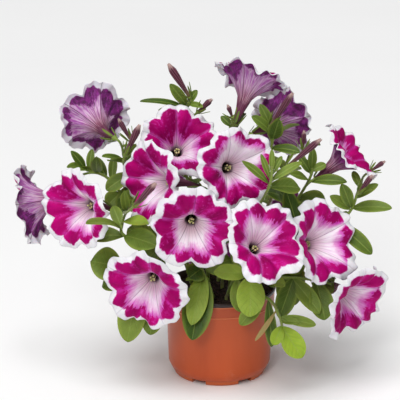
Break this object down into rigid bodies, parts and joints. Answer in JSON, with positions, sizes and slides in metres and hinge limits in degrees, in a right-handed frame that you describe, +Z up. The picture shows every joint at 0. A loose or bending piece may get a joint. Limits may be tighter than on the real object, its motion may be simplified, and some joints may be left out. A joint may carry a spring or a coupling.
{
  "type": "potted petunia",
  "caption": "Petunia in a small round tapered nursery pot: soil, leafy stems, wavy trumpet-shaped two-tone blooms and furled buds, standing on the pot's flat base.",
  "frame": {"origin": "centre of the pot's flat underside, where it rests", "axes": "+Z up along the pot's axis; the blooms that face the viewer look towards -Y; +X to the viewer's right"},
  "size_m": [0.3737, 0.2475, 0.3264],
  "materials": {
    "terracotta_plastic": "satin terracotta-coloured plastic with a darker rolled lip",
    "potting_soil": "dark crumbly peat soil",
    "foliage": "soft green leaves and hairy stems, paler veins and undersides",
    "petals": "velvety magenta with a white wavy edge and a pale star round the throat; dull violet reverse",
    "bud_petals": "dull dark maroon, pale at the tip"
  },
  "bodies": {
    "root": {"pot": "terracotta_plastic", "potting_soil": "potting_soil", "leafy_stem_upper_left": "foliage", "leafy_stem_left": "foliage", "leafy_stem_low_left": "foliage", "leafy_stem_top_left": "foliage", "leafy_stem_far_left": "foliage", "leafy_stem_middle": "foliage", "leafy_stem_top": "foliage", "leafy_stem_top_right": "foliage", "leafy_stem_right": "foliage", "leafy_stem_far_right": "foliage", "leafy_stem_low_right": "foliage", "leafy_stem_front_left": "foliage", "leafy_stem_front_right": "foliage", "leafy_stem_back_left": "foliage", "leafy_stem_back_right": "foliage", "leafy_stem_back_low": "foliage", "leafy_stem_trailing": "foliage", "bloom_far_left": "petals", "bloom_upper_left": "petals", "bloom_inner_left": "petals", "bloom_upper_middle": "petals", "bloom_front_middle": "petals", "bloom_front_right": "petals", "bloom_right": "petals", "bloom_lower_left": "petals", "bloom_rear_left": "petals", "bloom_edge_left": "petals", "bloom_top": "petals", "bloom_rear_top": "petals", "bloom_edge_right": "petals", "bloom_low_right": "petals", "bloom_back_left": "petals", "bloom_back_right": "petals", "bloom_back_low": "petals", "bud_crown": "bud_petals", "bud_upper_left": "bud_petals", "bud_inner_left": "bud_petals", "bud_rear_left": "bud_petals", "bud_top_right": "bud_petals", "bud_right": "bud_petals", "bud_top_small": "bud_petals", "bud_top_tiny": "bud_petals", "bud_edge_small": "bud_petals", "bud_edge_dark": "bud_petals", "bud_withered": "bud_petals"}
  },
  "joints": []
}
